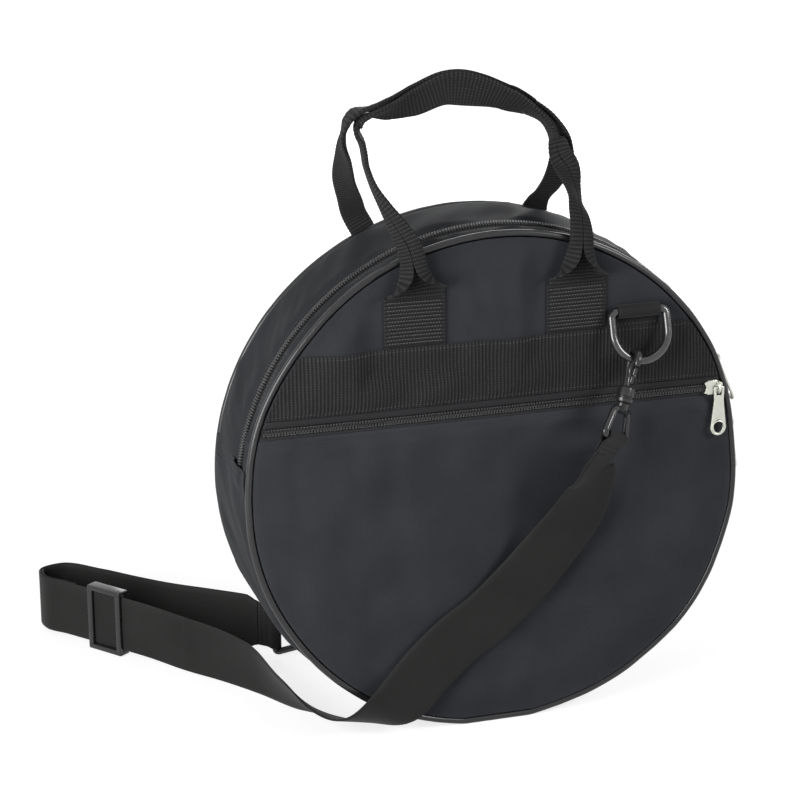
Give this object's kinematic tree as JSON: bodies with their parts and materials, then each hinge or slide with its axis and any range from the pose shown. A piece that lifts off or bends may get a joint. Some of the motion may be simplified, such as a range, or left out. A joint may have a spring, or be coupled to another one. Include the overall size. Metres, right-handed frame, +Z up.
{
  "type": "drum case",
  "caption": "Round padded soft case for a frame drum with two webbing handles, zipped front flap, flat pocket, D-rings and an adjustable clip-on shoulder strap.",
  "frame": {"origin": "middle of the case's flattened underside, on the floor", "axes": "+Z up, -Y out of the front with the pocket, +X to the right seen from the front"},
  "size_m": [0.4338, 0.3215, 0.4351],
  "materials": {
    "nylon": "woven polyester, slight sheen",
    "gusset_nylon": "woven polyester",
    "webbing": "ribbed polypropylene webbing",
    "lining": "smooth lining cloth",
    "foam": "closed-cell foam sheet",
    "vinyl_piping": "smooth vinyl",
    "zip_coil": "nylon coil and tape",
    "black_plastic": "moulded acetal",
    "slider_metal": "plated zinc"
  },
  "bodies": {
    "case": {"back_panel": "nylon", "back_padding": "foam", "back_lining": "lining", "front_panel_lower": "nylon", "front_padding_lower": "foam", "front_lining_lower": "lining", "pocket_panel": "nylon", "pocket_zip_tape_lower": "zip_coil", "pocket_zip_tape_upper": "zip_coil", "pocket_zip_coil": "zip_coil", "gusset_lower": "gusset_nylon", "gusset_lower_padding": "foam", "gusset_lower_lining": "lining", "gusset_rear": "gusset_nylon", "gusset_rear_padding": "foam", "gusset_rear_lining": "lining", "gusset_front_end_left": "gusset_nylon", "gusset_front_end_right": "gusset_nylon", "zip_half_front_end_left": "zip_coil", "zip_half_front_end_right": "zip_coil", "zip_half_rear": "zip_coil", "back_piping": "vinyl_piping", "front_piping_lower": "vinyl_piping", "back_band": "webbing", "back_handle_patch_left": "webbing", "back_handle_patch_right": "webbing", "ring_tab_back": "webbing", "hook_eye_rear": "black_plastic", "strap_end_rear": "webbing", "strap_front": "webbing", "strap_corner": "webbing", "strap_loop": "webbing", "strap_adjust_layer": "webbing"},
    "front_flap": {"front_panel_upper": "nylon", "front_padding_upper": "foam", "front_lining_upper": "lining", "gusset_front": "gusset_nylon", "zip_half_front": "zip_coil", "front_piping_upper": "vinyl_piping", "front_band": "webbing", "front_handle_patch_left": "webbing", "front_handle_patch_right": "webbing", "ring_tab_front": "webbing"},
    "front_ring": {"d_ring_front": "black_plastic"},
    "front_hook": {"hook_claw_front": "black_plastic"},
    "front_gate": {"hook_gate_front": "black_plastic"},
    "front_eye": {"hook_eye_front": "black_plastic", "strap_end_front": "webbing"},
    "back_ring": {"d_ring_back": "black_plastic"},
    "rear_hook": {"hook_claw_rear": "black_plastic"},
    "rear_gate": {"hook_gate_rear": "black_plastic"},
    "front_handle": {"handle_front": "webbing"},
    "back_handle": {"handle_back": "webbing"},
    "upper_slider": {"zip_slider_upper": "slider_metal"},
    "upper_pull": {"zip_pull_upper": "slider_metal"},
    "lower_slider": {"zip_slider_lower": "slider_metal"},
    "lower_pull": {"zip_pull_lower": "slider_metal"},
    "pocket_slider": {"zip_slider_pocket": "slider_metal"},
    "pocket_pull": {"zip_pull_pocket": "slider_metal"},
    "adjuster": {"slide_adjuster": "black_plastic"}
  },
  "joints": [
    {"name": "flap_fold", "type": "hinge", "parent": "case", "child": "front_flap", "pos_m": [0, -0.044, 0.227], "axis": [1, 0, 0], "range_deg": [0, 80], "deforming": ["strap_front"]},
    {"name": "front_ring_swing", "type": "hinge", "parent": "front_flap", "child": "front_ring", "pos_m": [0.094, -0.04635, 0.279], "axis": [1, 0, 0], "range_deg": [-80, 0]},
    {"name": "front_hook_swing", "type": "hinge", "parent": "front_ring", "child": "front_hook", "pos_m": [0.0877, -0.05674, 0.24882], "axis": [-0.9363, 0.0946, 0.3383], "range_deg": [0, 30]},
    {"name": "front_gate_press", "type": "hinge", "parent": "front_hook", "child": "front_gate", "pos_m": [0.0822, -0.06454, 0.23578], "axis": [-0.9363, 0.0946, 0.3383], "range_deg": [0, 28], "stiffness_Nm_per_rad": 0.01, "springref_deg": -17.19},
    {"name": "front_swivel", "type": "hinge", "parent": "front_hook", "child": "front_eye", "pos_m": [0.08719, -0.05711, 0.24751], "axis": [-0.3513, -0.2522, -0.9017], "continuous": true},
    {"name": "back_ring_swing", "type": "hinge", "parent": "case", "child": "back_ring", "pos_m": [-0.094, 0.04635, 0.279], "axis": [1, 0, 0], "range_deg": [0, 80]},
    {"name": "rear_swivel", "type": "hinge", "parent": "case", "child": "rear_hook", "pos_m": [-0.07312, 0.07992, 0.0235], "axis": [-0.775, 0.632, 0], "continuous": true},
    {"name": "rear_gate_press", "type": "hinge", "parent": "rear_hook", "child": "rear_gate", "pos_m": [-0.0816, 0.09199, 0.0235], "axis": [0, 0, -1], "range_deg": [0, 28], "stiffness_Nm_per_rad": 0.01, "springref_deg": -17.19},
    {"name": "front_handle_swing", "type": "hinge", "parent": "front_flap", "child": "front_handle", "pos_m": [0, -0.0436, 0.3003], "axis": [1, 0, 0], "range_deg": [0, 60]},
    {"name": "back_handle_swing", "type": "hinge", "parent": "case", "child": "back_handle", "pos_m": [0, 0.0436, 0.3003], "axis": [1, 0, 0], "range_deg": [-85, 0]},
    {"name": "upper_slider_run", "type": "hinge", "parent": "case", "child": "upper_slider", "pos_m": [0, -0.0195, 0.1685], "axis": [0, -1, 0], "range_deg": [0, 146.5]},
    {"name": "upper_pull_swing", "type": "hinge", "parent": "upper_slider", "child": "upper_pull", "pos_m": [0.1618, -0.0195, 0.23224], "axis": [0, -1, 0], "range_deg": [0, 150]},
    {"name": "lower_slider_run", "type": "hinge", "parent": "case", "child": "lower_slider", "pos_m": [0, -0.0195, 0.1685], "axis": [0, -1, 0], "range_deg": [-5, 2.5]},
    {"name": "lower_pull_swing", "type": "hinge", "parent": "lower_slider", "child": "lower_pull", "pos_m": [0.1731, -0.0195, 0.18517], "axis": [0, -1, 0], "range_deg": [0, 120]},
    {"name": "pocket_slider_run", "type": "slide", "parent": "case", "child": "pocket_slider", "axis": [-1, 0, 0], "range_m": [0, 0.3]},
    {"name": "pocket_pull_swing", "type": "hinge", "parent": "pocket_slider", "child": "pocket_pull", "pos_m": [0.15249, -0.0464, 0.2199], "axis": [-1, 0, 0], "range_deg": [0, 95]},
    {"name": "adjuster_slide", "type": "slide", "parent": "case", "child": "adjuster", "axis": [-0.581, 0.8139, 0], "range_m": [-0.022, 0.022], "deforming": ["strap_adjust_layer"]}
  ],
  "couplings": [
    {"joint": "front_ring_swing", "follows": "flap_fold", "ratio": -1}
  ]
}
